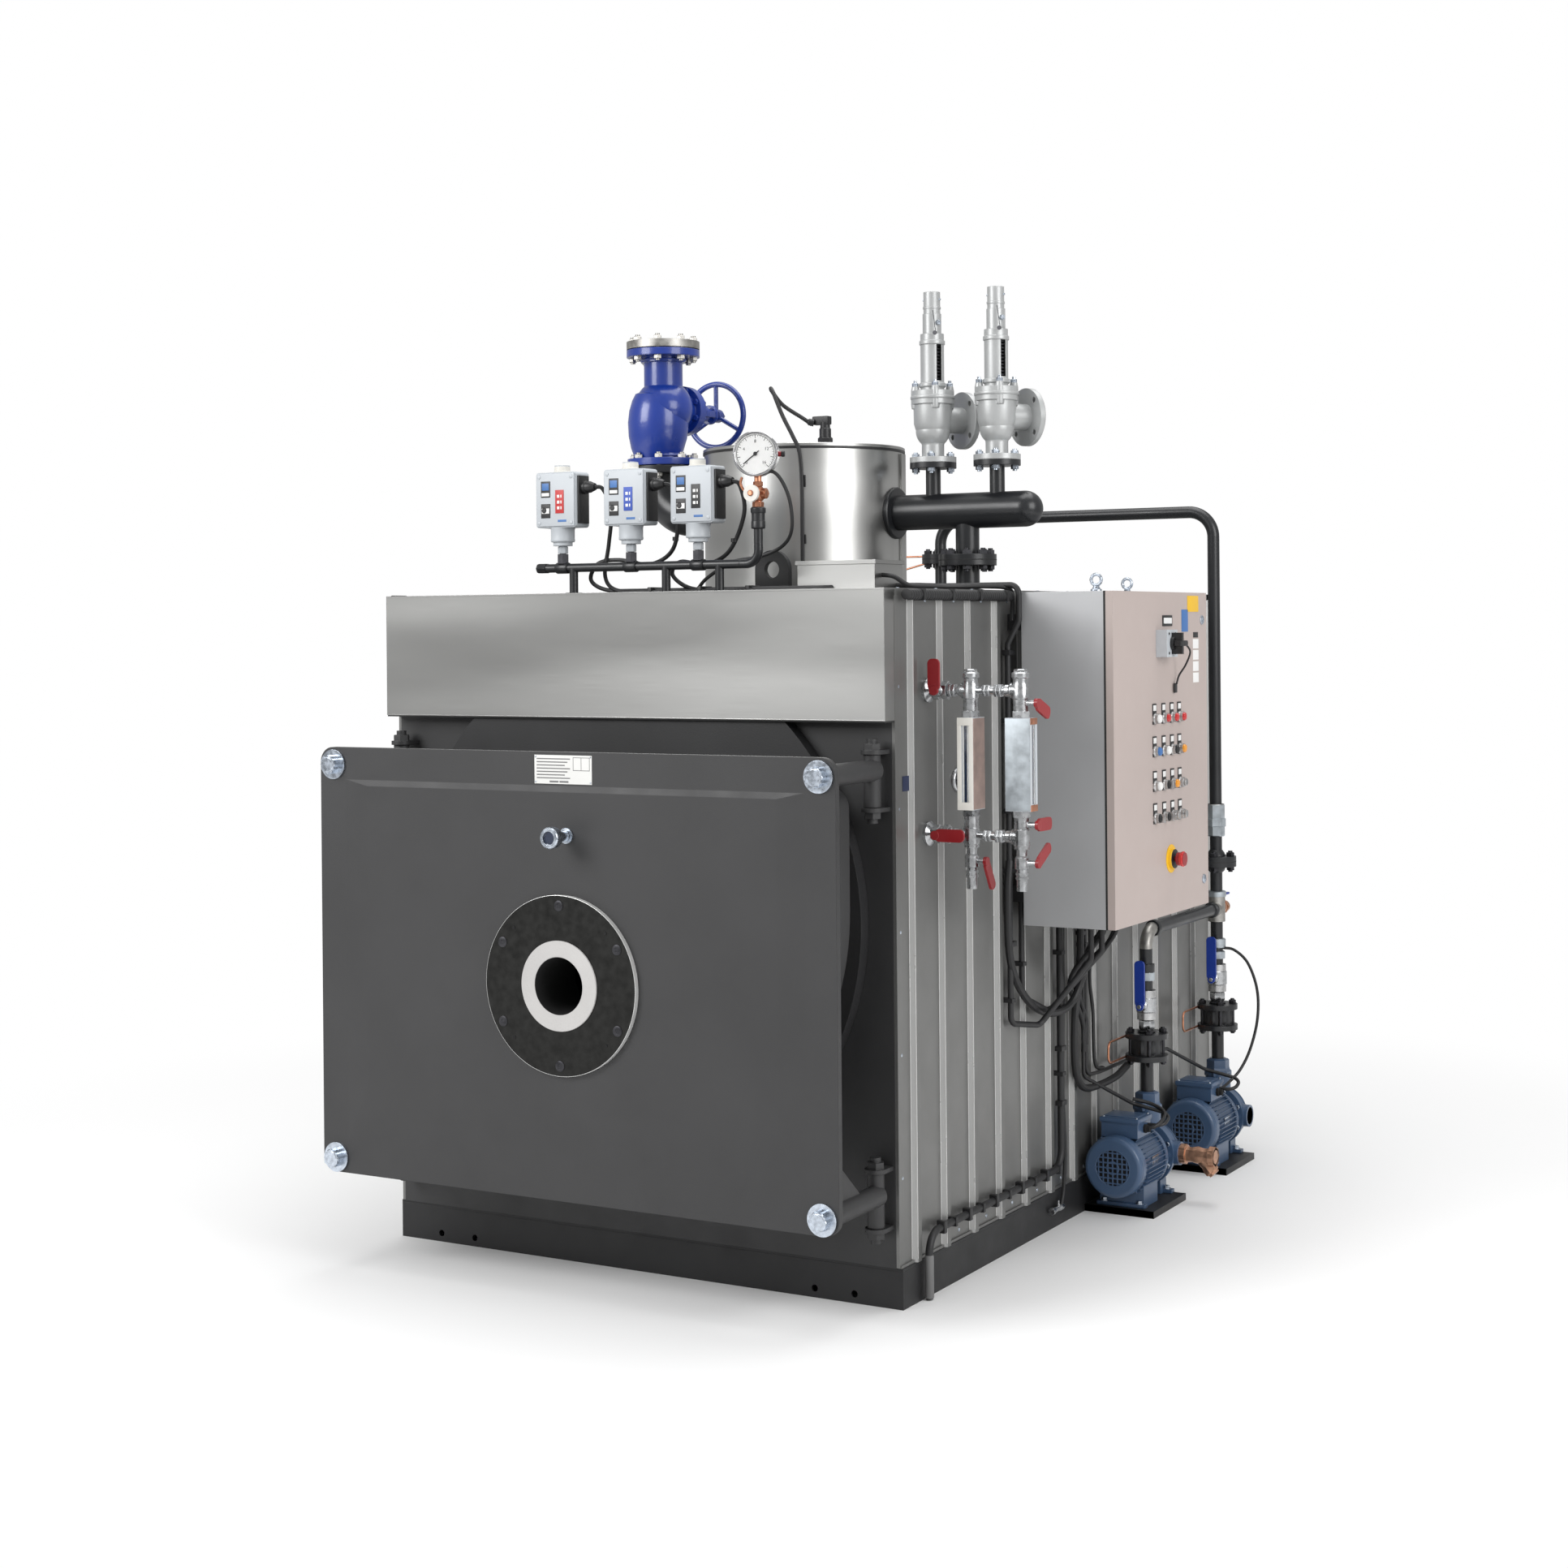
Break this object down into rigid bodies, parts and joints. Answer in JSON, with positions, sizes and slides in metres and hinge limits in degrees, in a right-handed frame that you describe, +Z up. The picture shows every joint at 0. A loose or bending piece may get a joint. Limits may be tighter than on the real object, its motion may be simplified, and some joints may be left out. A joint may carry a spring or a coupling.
{
  "type": "industrial steam boiler",
  "caption": "Horizontal fire-tube steam boiler on a base frame, with a swing-out burner door, steam drum, stop valve, safety valves, feed pumps, level gauges and control cabinet.",
  "frame": {"origin": "centre of the base frame's underside", "axes": "+X to the boiler's right-hand side as seen from the burner, where the pumps and cabinet are, +Y from the burner door to the flue, +Z up"},
  "size_m": [2.1693, 3.189, 2.962],
  "materials": {
    "frame_black": "satin black paint",
    "anthracite": "fine orange-peel anthracite paint",
    "cladding": "satin grey coated sheet",
    "stainless": "brushed stainless steel",
    "vessel_steel": "heat-blued boiler plate",
    "refractory": "cast refractory",
    "zinc": "zinc-plated fasteners",
    "black_pipe": "satin black pipe paint",
    "valve_blue": "gloss blue enamel",
    "flange_steel": "machined steel",
    "switch_grey": "light grey enamel",
    "gauge_case": "polished stainless case with a white dial",
    "safety_silver": "silver-grey paint",
    "pump_blue": "steel blue enamel",
    "bronze": "cast bronze",
    "copper": "copper tube",
    "cock_chrome": "nickel-plated cocks",
    "cabinet_grey": "light grey powder coat",
    "plastic_black": "black plastic",
    "lever_red": "red plastic grip",
    "lever_blue": "blue plastic grip",
    "cable_grey": "dark grey cable and conduit",
    "seal_rope": "ceramic fibre rope",
    "gasket": "sheet gasket"
  },
  "bodies": {
    "root": {"base_frame": "frame_black", "base_deck": "frame_black", "front_panel": "anthracite", "pressure_vessel": "vessel_steel", "front_tube_plate": "vessel_steel", "side_cladding_right": "cladding", "side_cladding_left": "cladding", "top_cladding": "cladding", "rear_cladding": "cladding", "smoke_box": "frame_black", "front_hood": "stainless", "hinge_lugs": "anthracite", "latch_arms": "anthracite", "steam_drum": "stainless", "drum_lid": "stainless", "steam_elbow": "black_pipe", "steam_valve_body": "valve_blue", "valve_gaskets": "gasket", "steam_outlet_flange": "flange_steel", "switch_header": "black_pipe", "pressure_switches": "switch_grey", "pressure_gauge": "gauge_case", "lifting_lugs": "frame_black", "junction_box": "stainless", "safety_header": "black_pipe", "safety_valves": "safety_silver", "feed_pipe": "black_pipe", "pump_risers": "black_pipe", "pump_bases": "frame_black", "pump_motors": "pump_blue", "pump_casings": "pump_blue", "strainer": "bronze", "level_gauge_cocks": "cock_chrome", "level_gauges": "switch_grey", "cabinet_body": "cabinet_grey", "cabinet_brackets": "frame_black", "conduits": "cable_grey", "copper_tubes": "copper"},
    "front_door": {"door_plate": "anthracite", "door_box": "anthracite", "door_lining": "refractory", "door_seal": "seal_rope", "burner_plate": "flange_steel", "burner_ring": "refractory", "sight_glass": "zinc", "door_bolts": "zinc", "door_hinge_arms": "anthracite"},
    "cabinet_door": {"cabinet_door": "cabinet_grey", "control_buttons": "plastic_black"},
    "main_switch": {"main_switch": "plastic_black"},
    "estop_button": {"estop_button": "lever_red"},
    "handwheel": {"handwheel": "valve_blue"},
    "pump_lever_1": {"pump_lever_1": "lever_blue"},
    "pump_lever_2": {"pump_lever_2": "lever_blue"},
    "gauge_lever_1": {"gauge_lever_1": "lever_red"},
    "gauge_lever_2": {"gauge_lever_2": "lever_red"},
    "gauge_lever_3": {"gauge_lever_3": "lever_red"},
    "gauge_lever_4": {"gauge_lever_4": "lever_red"},
    "drain_lever_1": {"drain_lever_1": "lever_red"},
    "drain_lever_2": {"drain_lever_2": "lever_red"}
  },
  "joints": [
    {"name": "front_door_swing", "type": "hinge", "parent": "root", "child": "front_door", "pos_m": [0.82, -1.313, 0.888], "axis": [0, 0, 1], "range_deg": [0, 95]},
    {"name": "cabinet_door_swing", "type": "hinge", "parent": "root", "child": "cabinet_door", "pos_m": [1.219, -0.543, 1.4855], "axis": [0, 0, -1], "range_deg": [0, 120]},
    {"name": "main_switch_turn", "type": "hinge", "parent": "cabinet_door", "child": "main_switch", "pos_m": [1.255, -0.149, 1.827], "axis": [1, 0, 0], "range_deg": [0, 90]},
    {"name": "estop_push", "type": "slide", "parent": "cabinet_door", "child": "estop_button", "axis": [-1, 0, 0], "range_m": [0, 0.006], "stiffness_N_per_m": 400},
    {"name": "handwheel_turn", "type": "hinge", "parent": "root", "child": "handwheel", "pos_m": [-0.55, 0.125, 2.64], "axis": [0, 1, 0], "continuous": true},
    {"name": "pump_lever_1_turn", "type": "hinge", "parent": "root", "child": "pump_lever_1", "pos_m": [0.99, 0.232, 0.636], "axis": [0, 1, 0], "range_deg": [0, 90]},
    {"name": "pump_lever_2_turn", "type": "hinge", "parent": "root", "child": "pump_lever_2", "pos_m": [0.99, 0.915, 0.636], "axis": [0, 1, 0], "range_deg": [0, 90]},
    {"name": "gauge_lever_1_turn", "type": "hinge", "parent": "root", "child": "gauge_lever_1", "pos_m": [0.912, -1.109, 1.705], "axis": [0, 1, 0], "range_deg": [0, 90]},
    {"name": "gauge_lever_2_turn", "type": "hinge", "parent": "root", "child": "gauge_lever_2", "pos_m": [0.912, -1.109, 1.3], "axis": [0, -1, 0], "range_deg": [0, 90]},
    {"name": "gauge_lever_3_turn", "type": "hinge", "parent": "root", "child": "gauge_lever_3", "pos_m": [1.2, -1.066, 1.671], "axis": [1, 0, 0], "range_deg": [0, 90]},
    {"name": "gauge_lever_4_turn", "type": "hinge", "parent": "root", "child": "gauge_lever_4", "pos_m": [1.2, -1.066, 1.334], "axis": [1, 0, 0], "range_deg": [0, 90]},
    {"name": "drain_lever_1_turn", "type": "hinge", "parent": "root", "child": "drain_lever_1", "pos_m": [1.042, -1.066, 1.228], "axis": [1, 0, 0], "range_deg": [0, 90]},
    {"name": "drain_lever_2_turn", "type": "hinge", "parent": "root", "child": "drain_lever_2", "pos_m": [1.2, -1.066, 1.228], "axis": [-1, 0, 0], "range_deg": [0, 90]}
  ]
}
